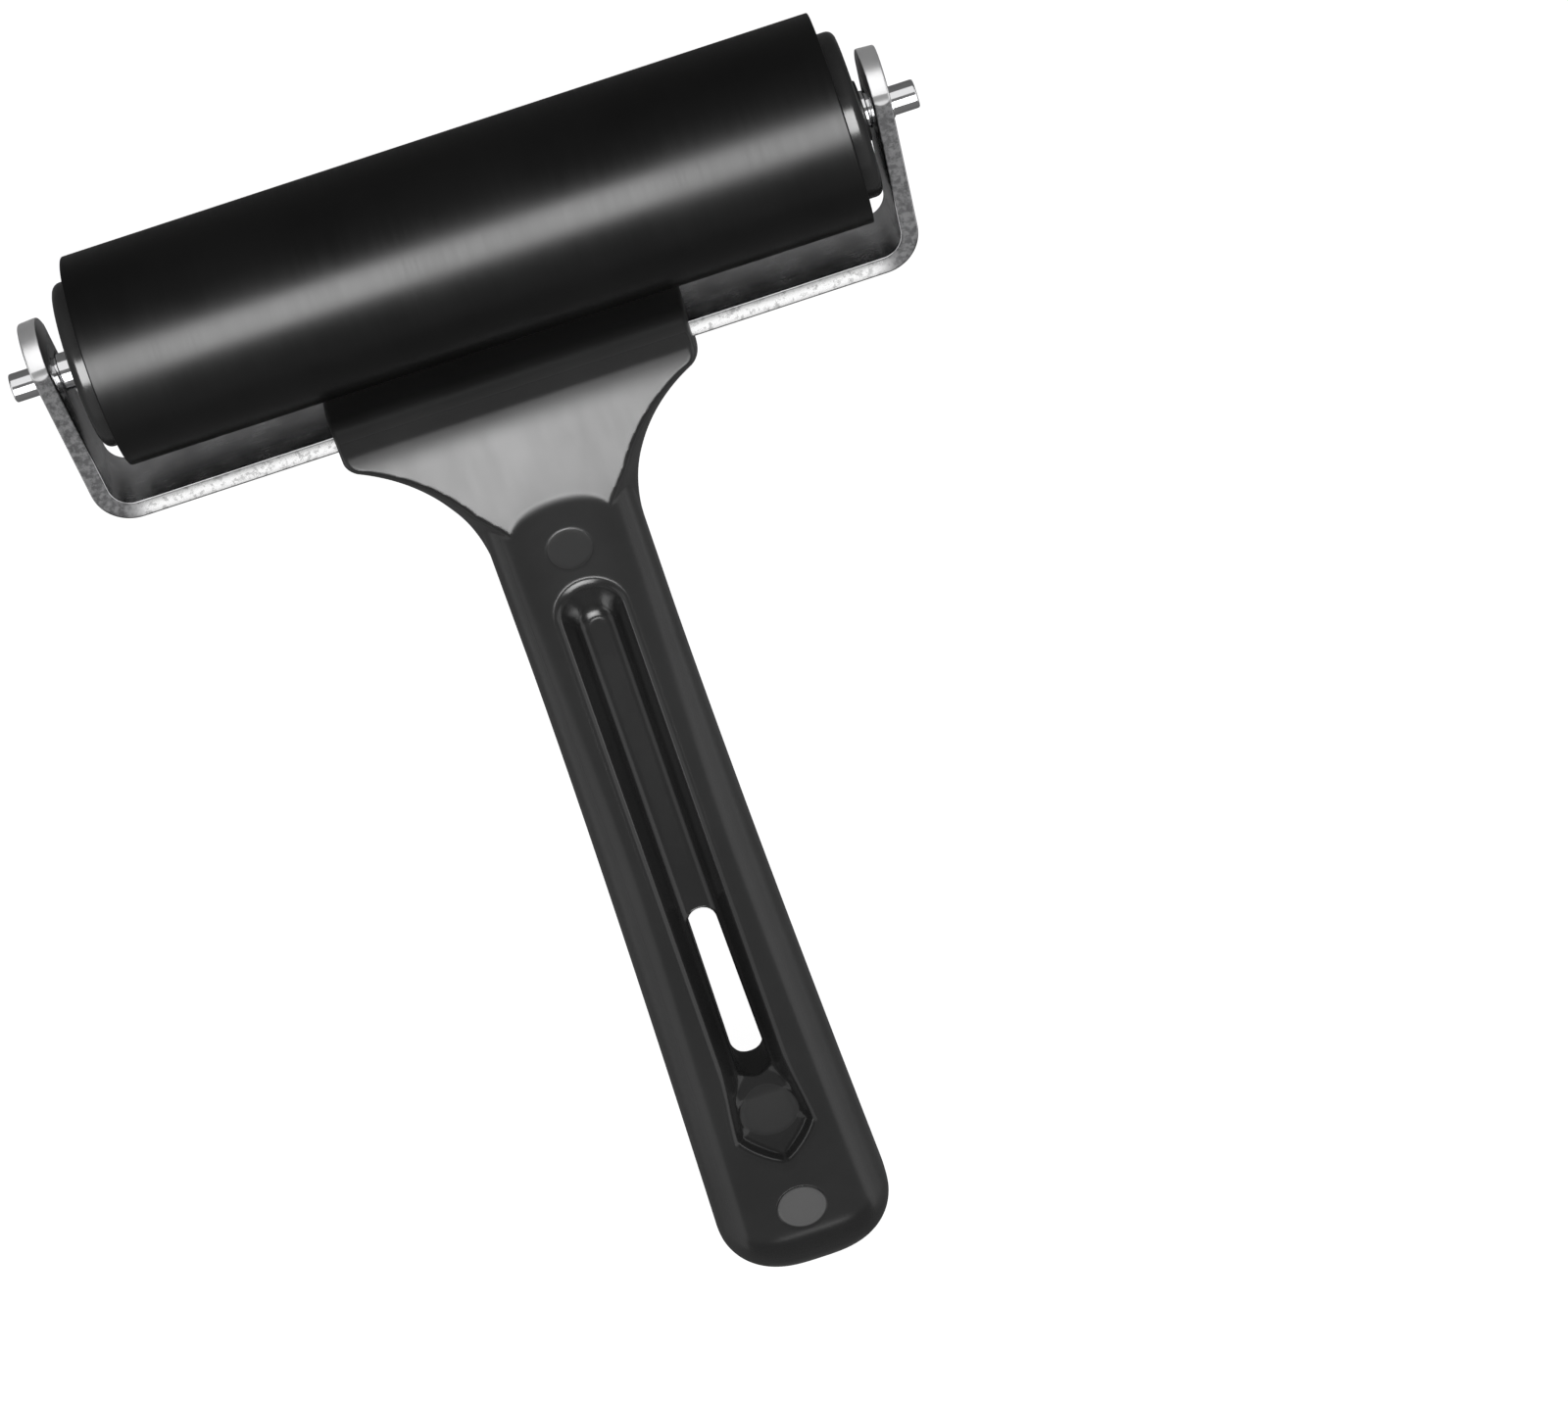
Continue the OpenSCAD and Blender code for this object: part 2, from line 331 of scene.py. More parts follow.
def outward(obj):
    """Turns every face of a closed mesh outward."""
    bm = bmesh.new()
    bm.from_mesh(obj.data)
    bmesh.ops.recalc_face_normals(bm, faces=bm.faces)
    bm.to_mesh(obj.data)
    bm.free()
    return obj


# ---------------------------------------------------------------- lathe work


def fillet_path(points, radii, segments=6):
    """Rounds the corners of a closed outline. points are (x, r) pairs."""
    out = []
    n = len(points)
    for i, (p, r) in enumerate(zip(points, radii)):
        p = np.array(p, float)
        if r <= 0:
            out.append(p)
            continue
        a = np.array(points[i - 1], float) - p
        b = np.array(points[(i + 1) % n], float) - p
        a, b = a / np.linalg.norm(a), b / np.linalg.norm(b)
        half = math.acos(np.clip(a @ b, -1, 1)) / 2
        reach = r / math.tan(half)
        centre = p + (a + b) / np.linalg.norm(a + b) * r / math.sin(half)
        start = p + a * reach - centre
        end = p + b * reach - centre
        turn = math.atan2(start[0] * end[1] - start[1] * end[0], start @ end)
        for k in range(segments + 1):
            t = turn * k / segments
            c, s = math.cos(t), math.sin(t)
            out.append(centre + np.array([c * start[0] - s * start[1], s * start[0] + c * start[1]]))
    return out


def braced(path, near=0.07):
    """Adds a point close to both ends of each long run, so its shading stays straight."""
    out = []
    for p, q in zip(path, path[1:] + path[:1]):
        out.append(p)
        gap = np.linalg.norm(q - p)
        if gap > 6 * near:
            out += [p + (q - p) * near / gap, q - (q - p) * near / gap]
    return out


def lathe(name, points, radii, x0=0.0, flip=False, around=144, segments=6):
    """Turns a closed outline of (x, r) corners about the axle's line."""
    path = braced(fillet_path(points, radii, segments))
    verts, faces = [], []
    m = len(path)
    sign = -1.0 if flip else 1.0
    for k in range(around):
        t = 2 * math.pi * k / around
        for x, r in path:
            verts.append((x0 + sign * x, r * math.cos(t), r * math.sin(t)))
    for k in range(around):
        k2 = (k + 1) % around
        for i in range(m):
            j = (i + 1) % m
            faces.append((k * m + i, k * m + j, k2 * m + j, k2 * m + i))
    obj = outward(new_object(name, verts, faces))
    return obj


# ---------------------------------------------------------------- the pieces


def build_sleeve():
    """The rubber covering, with its two end edges just broken."""
    inner = CAP_R
    a = ROLLER_HALF
    return lathe(
        "rubber_cover",
        [(-a, inner), (-a, ROLLER_R), (-a / 3, ROLLER_R), (a / 3, ROLLER_R), (a, ROLLER_R), (a, inner)],
        [0.15, 0.2, 0, 0, 0.2, 0.15],
        x0=ROLLER_X,
        around=192,
    )


def build_cap(name, flip):
    """A moulded end cap: plug, flange with a rounded rim, dished face and hub."""
    face = CAP_FACE
    seat = ROLLER_HALF
    plug = CAP_R - CORE_WALL
    depth = seat - CAP_DEPTH
    dish = 0.5
    hub = AXLE_R + 3.5
    points = [
        (depth, CAP_BORE_R), (depth, hub), (seat - 3.5, hub), (seat - 3.5, plug - 2.0),
        (depth, plug - 2.0), (depth, plug), (seat, plug), (seat, CAP_R), (face, CAP_R),
        (face, CAP_R - 2.2), (face - dish, CAP_R - 3.0), (face - dish, hub + 0.8),
        (face, hub), (face, CAP_BORE_R),
    ]
    radii = [0.2, 0.2, 0.3, 0.3, 0.2, 0.3, 0.1, 0.1, CAP_RIM_R, 0.4, 0.4, 0.4, 0.3, 0.25]
    return lathe(name, points, radii, x0=ROLLER_X, flip=flip)


def build_axle():
    """The rod, its shoulders inside the ears, the seats in them and the free ends outside."""
    right = [
        (SHOULDER_X, AXLE_R), (SHOULDER_X, SEAT_R), (SEAT_X, SEAT_R), (SEAT_X, STUB_R),
        (AXLE_TIP, STUB_R), (AXLE_TIP, 0.05),
    ]
    left = [(-x, r) for x, r in reversed(right)]
    turns = [0.2, 0, 0.06, 0, 0.3, 0]
    return lathe("axle_rod", left + right, turns[::-1] + turns, around=96)


def build_washer(name, flip):
    """A thin washer against the cap's face."""
    inner = WASHER_LOW[0] - ROLLER_X
    outer = WASHER_HIGH[0] - ROLLER_X
    r = WASHER_HIGH[2]
    points = [(inner, AXLE_R + 0.01), (inner, r), (outer, r), (outer, AXLE_R + 0.01)]
    return lathe(name, points, [0.05, 0.18, 0.18, 0.05], x0=ROLLER_X, flip=flip, around=96)


# The strip's middle line, worked out from the yoke's box
EAR_OUT_X = YOKE_HIGH[0] - math.tan(ARM_LEAN) * EAR_R
BEND_MID_R = BEND_R + STRIP_T / 2
BEND_OUT_R = BEND_R + STRIP_T
BEND_Y = BAR_OUT_Y + BEND_OUT_R
BEND_X = (EAR_OUT_X - BEND_OUT_R * math.cos(ARM_LEAN)
          - math.tan(ARM_LEAN) * (BEND_OUT_R * math.sin(ARM_LEAN) - BEND_Y))
SHOULDER_X = EAR_OUT_X - STRIP_T / math.cos(ARM_LEAN) - 0.24
SEAT_X = EAR_OUT_X + SEAT_OUT
EAR_CORNER_Y = math.sqrt(EAR_R**2 - STRIP_HALF**2)
EAR_MID_X = EAR_OUT_X - STRIP_T / 2 / math.cos(ARM_LEAN) + math.tan(ARM_LEAN) * EAR_CORNER_Y


def strip_stations():
    """(x, y, direction angle, half width) along the right half of the strip."""
    out = []
    up = np.array([math.sin(ARM_LEAN), math.cos(ARM_LEAN)])
    side = np.array([math.cos(ARM_LEAN), -math.sin(ARM_LEAN)])
    foot = np.array([BEND_X, BEND_Y]) + BEND_MID_R * side
    for x in np.linspace(0.0, BEND_X, 60)[:-1]:
        out.append((x, BAR_OUT_Y + STRIP_T / 2, 0.0, STRIP_HALF))
    sweep = math.pi / 2 - ARM_LEAN
    for k in range(17):
        t = sweep * k / 16
        x = BEND_X + BEND_MID_R * math.sin(t)
        y = BEND_Y - BEND_MID_R * math.cos(t)
        out.append((x, y, t, STRIP_HALF))
    axle_at = -foot[1] / up[1]
    for d in np.linspace(0.0, axle_at + EAR_CORNER_Y, 26)[1:]:
        p = foot + up * d
        out.append((p[0], p[1], sweep, STRIP_HALF))
    first = math.asin(EAR_CORNER_Y / EAR_R)
    for k in range(1, 25):
        a = first + (math.pi / 2 - first) * k / 24
        d = axle_at + (EAR_R - 0.02) * math.sin(a)
        p = foot + up * d
        out.append((p[0], p[1], sweep, max(EAR_R * math.cos(a), 0.25)))
    return out


def build_yoke():
    """The bent strip, swept along its middle line with broken edges, then bored."""
    right = strip_stations()
    left = [(-x, y, -t, w) for x, y, t, w in right[1:]][::-1]
    stations = left + right
    half_t = STRIP_T / 2
    verts, faces = [], []
    for x, y, t, w in stations:
        rc = min(ARRIS_R, 0.9 * w)
        normal = np.array([math.sin(t), -math.cos(t)])
        section = []
        for cn, cz, a0 in ((1, 1, 0), (-1, 1, 1), (-1, -1, 2), (1, -1, 3)):
            for k in range(5):
                a = (a0 + k / 4) * math.pi / 2
                section.append((cn * (half_t - rc) + rc * math.cos(a), cz * (w - rc) + rc * math.sin(a)))
        ring = len(section)
        for n, z in section:
            verts.append((x + normal[0] * n, y + normal[1] * n, z))
    for i in range(len(stations) - 1):
        for k in range(ring):
            k2 = (k + 1) % ring
            faces.append((i * ring + k, i * ring + k2, (i + 1) * ring + k2, (i + 1) * ring + k))
    faces.append(tuple(range(ring)))
    last = (len(stations) - 1) * ring
    faces.append(tuple(range(last + ring - 1, last - 1, -1)))
    obj = outward(new_object("yoke_strip", verts, faces))
    drill(obj, SEAT_R + 0.03)
    return obj


def drill(obj, r):
    """Bores both ears for the axle's ends."""
    length = 2 * AXLE_TIP + 8
    cutter = lathe("cutter", [(-length / 2, 0.02), (-length / 2, r), (length / 2, r), (length / 2, 0.02)],
                   [0, 0, 0, 0], around=72)
    mod = obj.modifiers.new("bore", "BOOLEAN")
    mod.operation = "DIFFERENCE"
    mod.solver = "EXACT"
    mod.object = cutter
    bpy.context.view_layer.update()
    graph = bpy.context.evaluated_depsgraph_get()
    mesh = bpy.data.meshes.new_from_object(obj.evaluated_get(graph))
    obj.modifiers.clear()
    obj.data = mesh
    bpy.data.objects.remove(cutter)


def build_handle():
    """The moulding, meshed on a fine grid and settled onto its exact surface."""
    step = 0.3
    pad = 1.0
    verts, quads = surface_mesh(handle_field, HANDLE_LOW - pad, HANDLE_HIGH + pad, step)
    verts = settle(verts, handle_field)
    return outward(new_object("handle_moulding", verts, quads))


# -------------------------------------------------------------- node helpers


class Nodes:
    """A short way to write a material's node tree."""

    def __init__(self, name):
        self.mat = bpy.data.materials.new(name)
        self.mat.use_nodes = True
        self.tree = self.mat.node_tree
        self.bsdf = self.tree.nodes["Principled BSDF"]

    def add(self, kind, props=None, **inputs):
        node = self.tree.nodes.new(kind)
        for key, value in (props or {}).items():
            setattr(node, key, value)
        for key, value in inputs.items():
            self.put(node, key.replace("_", " "), value)
        return node

    def put(self, node, key, value):
        socket = node.inputs[int(key)] if key.isdigit() else node.inputs[key]
        if isinstance(value, bpy.types.NodeSocket):
            self.tree.links.new(value, socket)
        elif isinstance(value, bpy.types.Node):
            self.tree.links.new(value.outputs[0], socket)
        else:
            socket.default_value = value

    def math(self, op, *values, clamp=False):
        node = self.tree.nodes.new("ShaderNodeMath")
        node.operation = op
        node.use_clamp = clamp
        for i, v in enumerate(values):
            self.put(node, str(i), v)
        return node.outputs[0]

    def where(self):
        """Object coordinates in millimetres, and their x, y and z."""
        coord = self.add("ShaderNodeTexCoord").outputs["Object"]
        scaled = self.add("ShaderNodeVectorMath", {"operation": "SCALE"})
        self.put(scaled, "0", coord)
        scaled.inputs["Scale"].default_value = 1000.0
        split = self.add("ShaderNodeSeparateXYZ")
        self.put(split, "0", scaled.outputs[0])
        return scaled.outputs[0], split.outputs[0], split.outputs[1], split.outputs[2]

    def stretch(self, vector, sx, sy, sz):
        node = self.add("ShaderNodeMapping", {"vector_type": "POINT"})
        self.put(node, "Vector", vector)
        node.inputs["Scale"].default_value = (sx, sy, sz)
        return node.outputs[0]

    def noise(self, vector, scale, detail=3.0, rough=0.55):
        node = self.add("ShaderNodeTexNoise")
        self.put(node, "Vector", vector)
        node.inputs["Scale"].default_value = scale
        node.inputs["Detail"].default_value = detail
        node.inputs["Roughness"].default_value = rough
        return node.outputs["Fac"]

    def band(self, value, lo, hi, out_lo=0.0, out_hi=1.0):
        node = self.add("ShaderNodeMapRange", {"clamp": True, "interpolation_type": "SMOOTHSTEP"})
        self.put(node, "Value", value)
        node.inputs["From Min"].default_value = lo
        node.inputs["From Max"].default_value = hi
        node.inputs["To Min"].default_value = out_lo
        node.inputs["To Max"].default_value = out_hi
        return node.outputs[0]

    def mix(self, fac, a, b):
        node = self.add("ShaderNodeMix", {"data_type": "RGBA"})
        self.put(node, "0", fac)
        self.put(node, "6", a)
        self.put(node, "7", b)
        return node.outputs[2]

    def blend(self, fac, a, b):
        node = self.add("ShaderNodeMix", {"data_type": "FLOAT"})
        self.put(node, "0", fac)
        self.put(node, "2", a)
        self.put(node, "3", b)
        return node.outputs[0]

    def bump(self, *layers):
        """layers are (height socket, strength, distance in mm) from coarse to fine."""
        normal = None
        for height, strength, distance in layers:
            node = self.add("ShaderNodeBump")
            self.put(node, "Height", height)
            node.inputs["Strength"].default_value = strength
            node.inputs["Distance"].default_value = distance * MM
            if normal is not None:
                self.put(node, "Normal", normal)
            normal = node.outputs[0]
        self.put(self.bsdf, "Normal", normal)

    def finish(self, **inputs):
        for key, value in inputs.items():
            self.put(self.bsdf, key.replace("_", " "), value)
        return self.mat


def grey(v):
    return (v, v, v, 1.0)


def rubber_material():
    """Ground rubber: fine grinding rings, faint clouds and pores."""
    n = Nodes("ground_rubber")
    p = n.where()[0]
    rings = n.noise(n.stretch(p, 3.0, 0.06, 0.06), 1.0, 4.0, 0.6)
    cloud = n.noise(p, 0.06, 3.0)
    pores = n.noise(p, 5.0, 2.0)
    tone = n.mix(n.band(cloud, 0.3, 0.7), grey(0.0012), grey(0.0022))
    rough = n.math("ADD", n.band(cloud, 0.3, 0.7, 0.30, 0.34), n.band(rings, 0.3, 0.7, -0.02, 0.02))
    n.bump((rings, 0.05, 0.02), (pores, 0.05, 0.015))
    return n.finish(Base_Color=tone, Roughness=rough, Specular_IOR_Level=0.3)


def cap_material():
    """Moulded plastic with soft flow marks."""
    n = Nodes("cap_plastic")
    p = n.where()[0]
    flow = n.noise(n.stretch(p, 1.0, 1.0, 1.0), 0.35, 4.0)
    grain = n.noise(p, 6.0, 2.0)
    rough = n.band(flow, 0.35, 0.7, 0.16, 0.24)
    n.bump((flow, 0.08, 0.05), (grain, 0.06, 0.02))
    return n.finish(Base_Color=grey(0.012), Roughness=rough)


def washer_material():
    """Matt black nylon."""
    n = Nodes("washer_nylon")
    p = n.where()[0]
    grain = n.noise(p, 7.0, 3.0)
    n.bump((grain, 0.15, 0.03))
    return n.finish(Base_Color=grey(0.012), Roughness=n.band(grain, 0.3, 0.7, 0.4, 0.5))


def core_material():
    """Extruded tube with draw lines along it."""
    n = Nodes("core_plastic")
    p = n.where()[0]
    draw = n.noise(n.stretch(p, 0.05, 2.0, 2.0), 1.0, 3.0)
    n.bump((draw, 0.2, 0.03))
    return n.finish(Base_Color=grey(0.12), Roughness=n.band(draw, 0.3, 0.7, 0.42, 0.55))


def axle_material():
    """Plated rod with fine turning marks."""
    n = Nodes("bright_axle")
    p = n.where()[0]
    turned = n.noise(n.stretch(p, 9.0, 0.3, 0.3), 1.0, 3.0)
    cloud = n.noise(p, 0.8, 2.0)
    rough = n.math("ADD", n.band(cloud, 0.3, 0.7, 0.07, 0.12), n.band(turned, 0.3, 0.7, 0.0, 0.04))
    n.bump((turned, 0.06, 0.02))
    return n.finish(Base_Color=(0.80, 0.80, 0.81, 1), Metallic=1.0, Roughness=rough)


def yoke_material():
    """Plated strip: smooth faces, torn arm edges, and a painted highlight on the bar's edges and the ear rims.
    """
    n = Nodes("plated_strip")
    p, x, y, _ = n.where()
    geometry = n.add("ShaderNodeNewGeometry")
    split = n.add("ShaderNodeSeparateXYZ")
    n.put(split, "0", geometry.outputs["Normal"])
    edge = n.band(n.math("ABSOLUTE", split.outputs[2]), 0.75, 0.93)
    off_mid = n.math("SUBTRACT", n.math("ABSOLUTE", x), EAR_MID_X)
    below = n.math("MINIMUM", n.math("SUBTRACT", y, EAR_CORNER_Y), 0.0)
    from_tongue = n.math("SQRT", n.math("ADD", n.math("MULTIPLY", off_mid, off_mid),
                                        n.math("MULTIPLY", below, below)))
    # Painted highlight: the ear rims, down to a rounded tongue below the corner, get a lighter tone and are
    # kept out of the dark torn edges
    rim = n.math("MAXIMUM", n.band(y, EAR_CORNER_Y + 0.6, EAR_CORNER_Y + 0.9), n.band(from_tongue, 1.45, 1.15))
    bar = n.band(n.math("ABSOLUTE", x), BEND_X + 2.5, BEND_X - 3.0)
    torn_edge = n.math("MULTIPLY", edge, n.math("SUBTRACT", n.math("SUBTRACT", 1.0, rim), bar, clamp=True))
    # Painted highlight along the bar's edges: a lighter tone, mottled by the torn-edge noise, with lower
    # roughness
    bar_edge_highlight = n.math("MULTIPLY", edge, bar)
    along = n.noise(n.stretch(p, 0.25, 0.25, 6.0), 1.0, 5.0, 0.65)
    torn = n.noise(n.stretch(p, 1.2, 1.2, 0.5), 1.0, 6.0, 0.7)
    cloud = n.noise(p, 0.22, 4.0, 0.6)
    fine = n.noise(p, 7.0, 3.0)
    face_rough = n.math("ADD", n.band(cloud, 0.3, 0.7, 0.16, 0.26), n.band(along, 0.3, 0.7, -0.03, 0.05))
    edge_rough = n.band(torn, 0.35, 0.65, 0.28, 0.5)
    face_tone = n.mix(n.band(cloud, 0.35, 0.7), (0.52, 0.52, 0.53, 1), (0.66, 0.66, 0.67, 1))
    edge_tone = n.mix(n.band(torn, 0.4, 0.62), (0.12, 0.12, 0.123, 1), (0.34, 0.34, 0.345, 1))
    tone = n.mix(n.math("MULTIPLY", rim, 0.7), face_tone, grey(0.82))
    tone = n.mix(torn_edge, tone, edge_tone)
    # Tone of the painted highlight on the bar's edges
    bar_edge_highlight_tone = n.mix(n.band(torn, 0.38, 0.5), grey(0.45), grey(0.74))
    tone = n.mix(bar_edge_highlight, tone, bar_edge_highlight_tone)
    rough = n.blend(n.math("MULTIPLY", rim, 0.6), face_rough, 0.42)
    rough = n.blend(torn_edge, rough, edge_rough)
    rough = n.blend(bar_edge_highlight, rough, 0.24)
    n.bump((n.math("MULTIPLY", torn, torn_edge), 0.5, 0.12), (along, 0.10, 0.03), (fine, 0.06, 0.02))
    return n.finish(Base_Color=tone, Metallic=1.0, Roughness=rough)


def handle_material():
    """Satin moulded plastic, duller on its sides and on the mould's round marks."""
    n = Nodes("handle_plastic")
    p, x, y, _ = n.where()
    cloud = n.noise(p, 0.05, 4.0, 0.6)
    flow = n.noise(n.stretch(p, 0.5, 0.06, 0.5), 1.0, 4.0, 0.6)
    grain = n.noise(p, 8.0, 2.0)
    tone = n.mix(n.band(cloud, 0.3, 0.7), grey(0.017), grey(0.023))
    rough = n.math("ADD", n.band(cloud, 0.3, 0.7, 0.15, 0.17), n.band(flow, 0.35, 0.7, -0.004, 0.008))
    geometry = n.add("ShaderNodeNewGeometry")
    split = n.add("ShaderNodeSeparateXYZ")
    n.put(split, "0", geometry.outputs["Normal"])
    past_channel = n.math("MAXIMUM", n.band(n.math("ABSOLUTE", x), 6.9, 7.6), n.band(y, -44.5, -42.5))
    side = n.math("MULTIPLY", n.band(n.math("ABSOLUTE", split.outputs[2]), 0.97, 0.80), past_channel)
    rough = n.blend(side, rough, 0.42)
    for at, r, _, pale in MARKS.values():
        dy = n.math("ADD", y, at)
        away = n.math("SQRT", n.math("ADD", n.math("MULTIPLY", x, x), n.math("MULTIPLY", dy, dy)))
        disc = n.band(away, r + 0.1, r - 0.15)
        tone = n.mix(disc, tone, grey(pale))
        rough = n.blend(disc, rough, 0.42)
    n.bump((flow, 0.002, 0.03), (grain, 0.05, 0.010))
    return n.finish(Base_Color=tone, Roughness=rough)


# ---------------------------------------------------------------- put together

PIECES = [
    (build_sleeve(), "roller", "rubber_sleeve", "rubber", rubber_material()),
    (build_axle(), "frame", "axle", "axle_steel", axle_material()),
    (build_yoke(), "frame", "yoke", "yoke_steel", yoke_material()),
    (build_handle(), "frame", "handle", "handle_plastic", handle_material()),
]
CAP_FINISH = cap_material()
WASHER_FINISH = washer_material()
for side, flip in (("left", True), ("right", False)):
    PIECES.append((build_cap(side + "_cap", flip), "roller", side + "_end_cap", "cap_plastic", CAP_FINISH))
    PIECES.append((build_washer(side + "_washer", flip), "frame", side + "_thrust_washer",
                   "washer_plastic", WASHER_FINISH))

for obj, body, node, slot, material in PIECES:
    obj.data.materials.clear()
    obj.data.materials.append(material)
    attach(obj, body)
    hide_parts(node)

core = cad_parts["roller_core"]
core.data.materials.clear()
core.data.materials.append(core_material())

# ------------------------------------------------------------ floor and light

# The brayer lies on its roller and the tail of its handle
REST_TILT = math.atan2(ROLLER_R - GRIP_Z, REACH - TAIL_LEN)
FLOOR_HALF = 3.0
FLOOR_SEEN = 0.92
FLOOR_UNSEEN = 0.85
FLOOR_GLOW = 0.97


def build_floor():
    """A pale floor under the roller and the tail. The glow is for the camera only."""
    mesh = bpy.data.meshes.new("floor")
    corners = [(x * FLOOR_HALF, y * FLOOR_HALF, 0) for x, y in ((-1, -1), (1, -1), (1, 1), (-1, 1))]
    mesh.from_pydata(corners, [], [(0, 1, 2, 3)])
    floor = bpy.data.objects.new("floor", mesh)
    bpy.context.scene.collection.objects.link(floor)
    floor.location = (0, 0, -ROLLER_R * MM)
    floor.rotation_euler = (-REST_TILT, 0, 0)
    n = Nodes("floor")
    grain = n.noise(n.where()[0], 0.5, 3.0)
    n.bump((grain, 0.02, 0.05))
    seen = n.add("ShaderNodeLightPath").outputs["Is Camera Ray"]
    glow = n.math("MULTIPLY", seen, FLOOR_GLOW)
    floor.data.materials.append(n.finish(
        Base_Color=n.mix(seen, grey(FLOOR_UNSEEN), grey(FLOOR_SEEN)), Roughness=0.9, Specular_IOR_Level=0.1,
        Emission_Color=(1, 1, 1, 1), Emission_Strength=glow))


def add_light(name, from_vertical, distance, target, size, power, across=0.0, spread=None):
    """A softbox over the target. from_vertical is its angle in degrees, plus towards the roller side."""
    data = bpy.data.lights.new(name, "AREA")
    data.shape = "RECTANGLE"
    data.size, data.size_y = size
    data.energy = power
    if spread:
        data.spread = math.radians(spread)
    light = bpy.data.objects.new(name, data)
    bpy.context.scene.collection.objects.link(light)
    a = math.radians(from_vertical)
    b = math.radians(across)
    way = Vector((math.sin(b), math.cos(b) * math.sin(a), math.cos(b) * math.cos(a)))
    z = way.normalized()
    x = (Vector((1, 0, 0)) - z * z.x).normalized()
    light.matrix_world = Matrix((x, z.cross(x), z)).transposed().to_4x4()
    light.location = Vector(target) + way * distance
    light.visible_camera = False
    return light


def light_only(light, objects, casters=None):
    """The light reaches only these objects; casters are the only ones that shade it."""
    group = bpy.data.collections.new(light.name + "_on")
    for obj in objects:
        group.objects.link(obj)
    light.light_linking.receiver_collection = group
    if casters is not None:
        shade = bpy.data.collections.new(light.name + "_shade")
        for obj in casters:
            shade.objects.link(obj)
        light.light_linking.blocker_collection = shade


build_floor()

world = bpy.data.worlds.new("studio")
bpy.context.scene.world = world
world.use_nodes = True
world.node_tree.nodes["Background"].inputs[0].default_value = (1, 1, 1, 1)
world.node_tree.nodes["Background"].inputs[1].default_value = 0.17

ALL = [row[0] for row in PIECES]
ROLLING = [obj for obj, body, node, slot, _ in PIECES if body == "roller" or slot == "washer_plastic"]
AXLE = [obj for obj, body, node, slot, _ in PIECES if node == "axle"]
YOKE = [obj for obj, body, node, slot, _ in PIECES if node == "yoke"]
HANDLE = [obj for obj, body, node, slot, _ in PIECES if node == "handle"]

light_only(add_light("soft_sky", 0.0, 1.0, (0, -0.05, 0), (2.5, 2.5), 3.3), ROLLING + HANDLE + YOKE)
light_only(add_light("roller_strip", 16.0, 0.70, (0, 0, 0), (0.60, 0.38), 10.5, across=-5.0), ROLLING)
light_only(add_light("facet_box", -41.8, 0.35, (0, -0.026, 0.008), (0.12, 0.048), 0.0015,
                     across=-2.3, spread=14.0), HANDLE)
front_fill = add_light("front_fill", 60.0, 0.70, (0, -0.10, 0), (0.6, 0.6), 1.2)
front_fill.visible_glossy = False
light_only(front_fill, HANDLE)
for side in (-55.0, 55.0):
    fill = add_light("handle_fill", 10.0, 0.70, (0, -0.09, 0), (0.6, 0.9), 1.25, across=side)
    fill.visible_glossy = False
    light_only(fill, HANDLE)
light_only(add_light("handle_under", 152.0, 0.35, (0, -0.09, 0), (0.8, 0.8), 2.2), HANDLE, ALL)
for side in (-112.0, 112.0):
    light_only(add_light("handle_side", 0.0, 0.40, (0, -0.09, 0), (0.6, 0.6), 1.5, across=side), HANDLE, ALL)
light_only(add_light("tail_box", -64.0, 0.18, (0, -0.052, 0.005), (0.06, 0.055), 0.0038, spread=36.0), HANDLE)
light_only(add_light("rim_right", -53.0, 0.50, (0, -0.09, 0), (0.30, 0.30), 0.20, across=44.0), HANDLE)
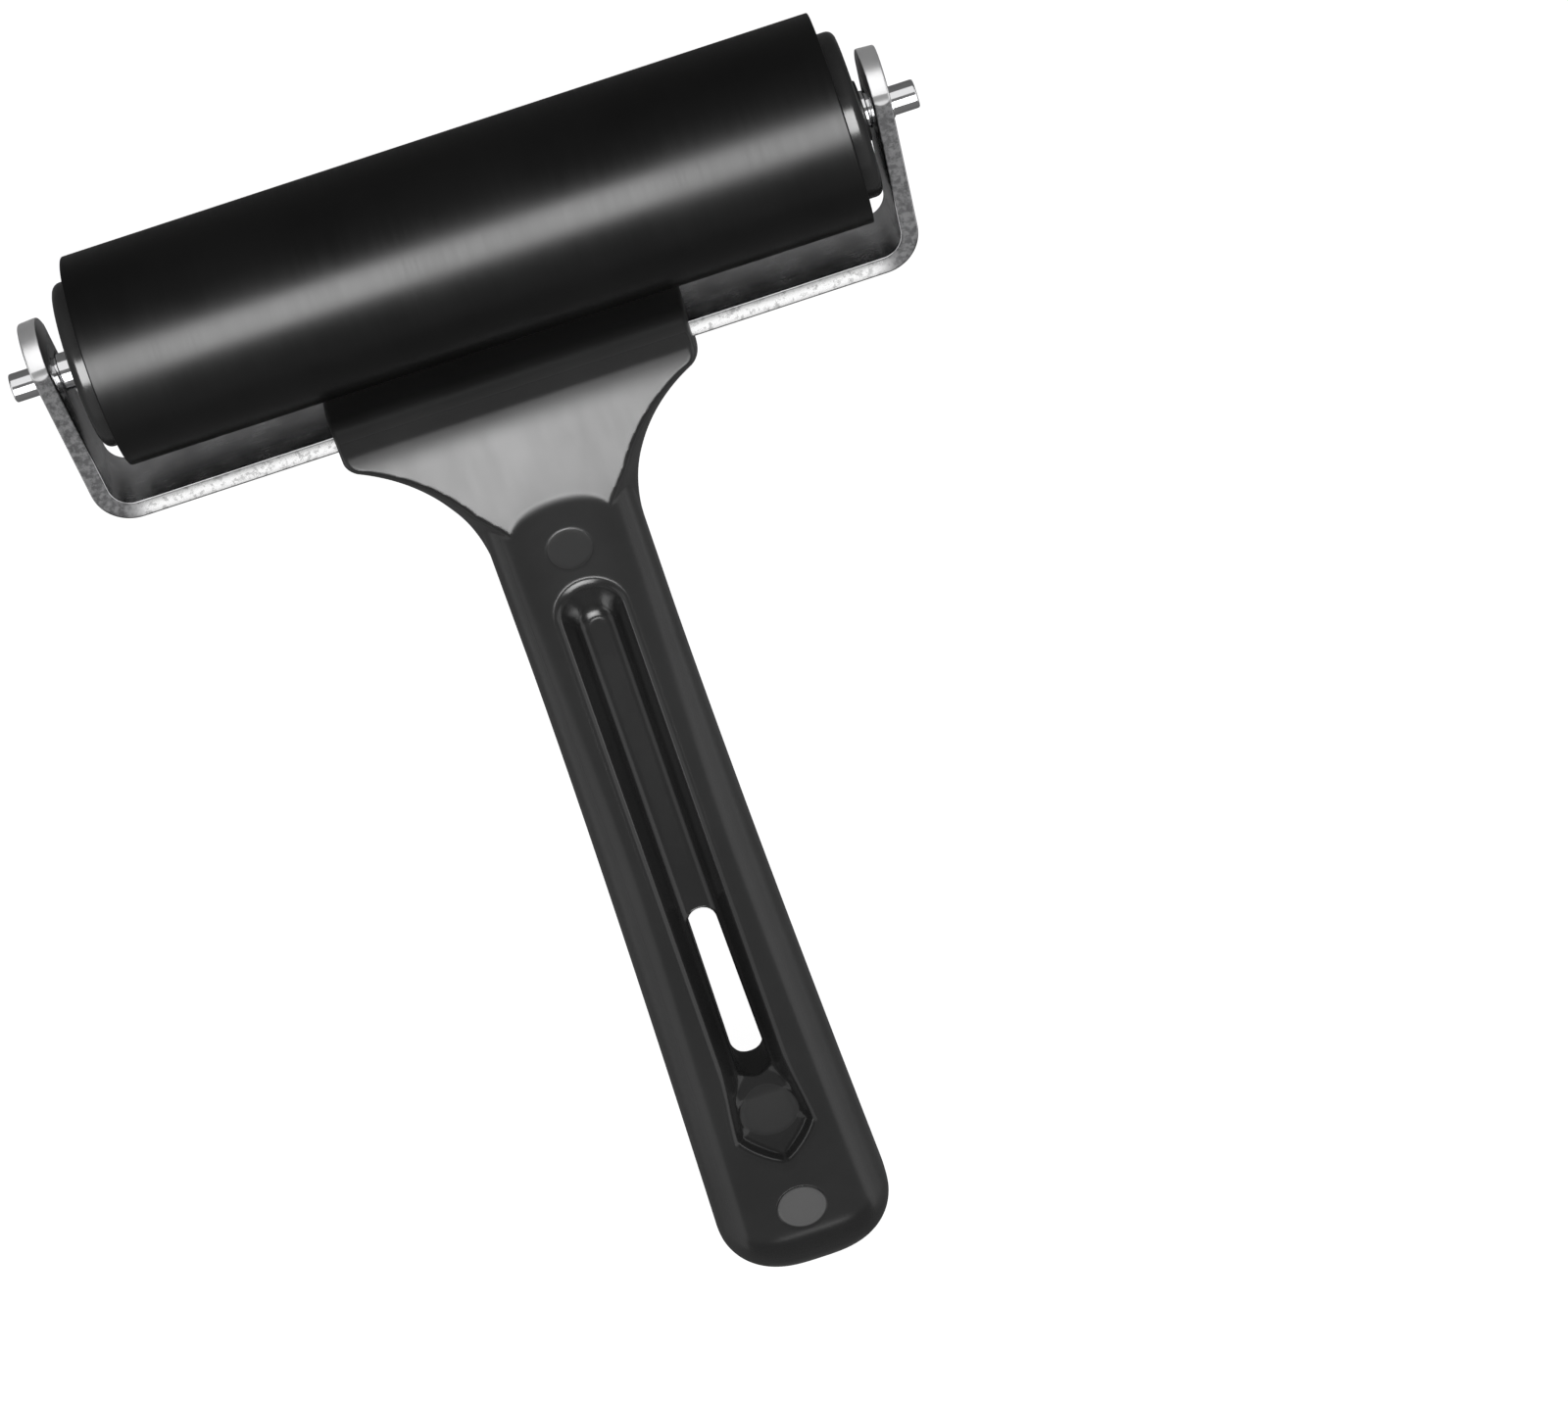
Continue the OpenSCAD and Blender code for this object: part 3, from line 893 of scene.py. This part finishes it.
light_only(add_light("rim_left", -53.0, 0.50, (0, -0.09, 0), (0.30, 0.30), 0.13, across=-44.0), HANDLE)
light_only(add_light("axle_key", -10.0, 0.60, (0, 0, 0), (0.8, 0.54), 4.2), AXLE)
light_only(add_light("axle_sky", 64.0, 0.60, (0, 0, 0), (0.8, 0.60), 1.2), AXLE)
light_only(add_light("yoke_front", -29.0, 2.5, (0, -0.03, 0), (1.6, 0.8), 5.0), YOKE)
light_only(add_light("yoke_sky", 80.0, 0.9, (0, 0, 0), (1.2, 1.5), 7.5), YOKE, ALL)
for side in (-78.0, 78.0):
    light_only(add_light("metal_side", 0.0, 0.60, (0, 0, 0), (1.0, 1.0), 2.4, across=side), YOKE + AXLE, ALL)
light_only(add_light("yoke_under", 150.0, 0.6, (0, 0, 0), (0.8, 0.5), 4.5), YOKE, ALL)

# ------------------------------------------------------------------- camera

CAMERA_AT = (0.0251, 0.2697, 0.5677)
CAMERA_TILT = math.radians(31.67)
CAMERA_YAW = math.radians(0.41)
CAMERA_ROLL = math.radians(-18.09)
FOCAL_PX = 4991.0
WIDTH_PX = 1600.0


def camera_matrix():
    """The camera looks down and back along the handle, turned a little in the picture."""
    right = Vector((1, 0, 0))
    up = Vector((0, math.cos(CAMERA_TILT), -math.sin(CAMERA_TILT)))
    back = Vector((0, math.sin(CAMERA_TILT), math.cos(CAMERA_TILT)))
    c, s = math.cos(CAMERA_YAW), math.sin(CAMERA_YAW)
    right, back = c * right - s * back, s * right + c * back
    c, s = math.cos(CAMERA_ROLL), math.sin(CAMERA_ROLL)
    right, up = c * right + s * up, c * up - s * right
    m = Matrix((right, up, back)).transposed().to_4x4()
    m.translation = Vector(CAMERA_AT)
    return m


camera_data = bpy.data.cameras.new("camera")
camera_data.sensor_width = 36.0
camera_data.lens = FOCAL_PX / WIDTH_PX * 36.0
camera_data.clip_start = 0.01
camera_data.clip_end = 20.0
camera = bpy.data.objects.new("camera", camera_data)
bpy.context.scene.collection.objects.link(camera)
camera.matrix_world = camera_matrix()
bpy.context.scene.camera = camera

bpy.context.scene.view_settings.view_transform = "Standard"
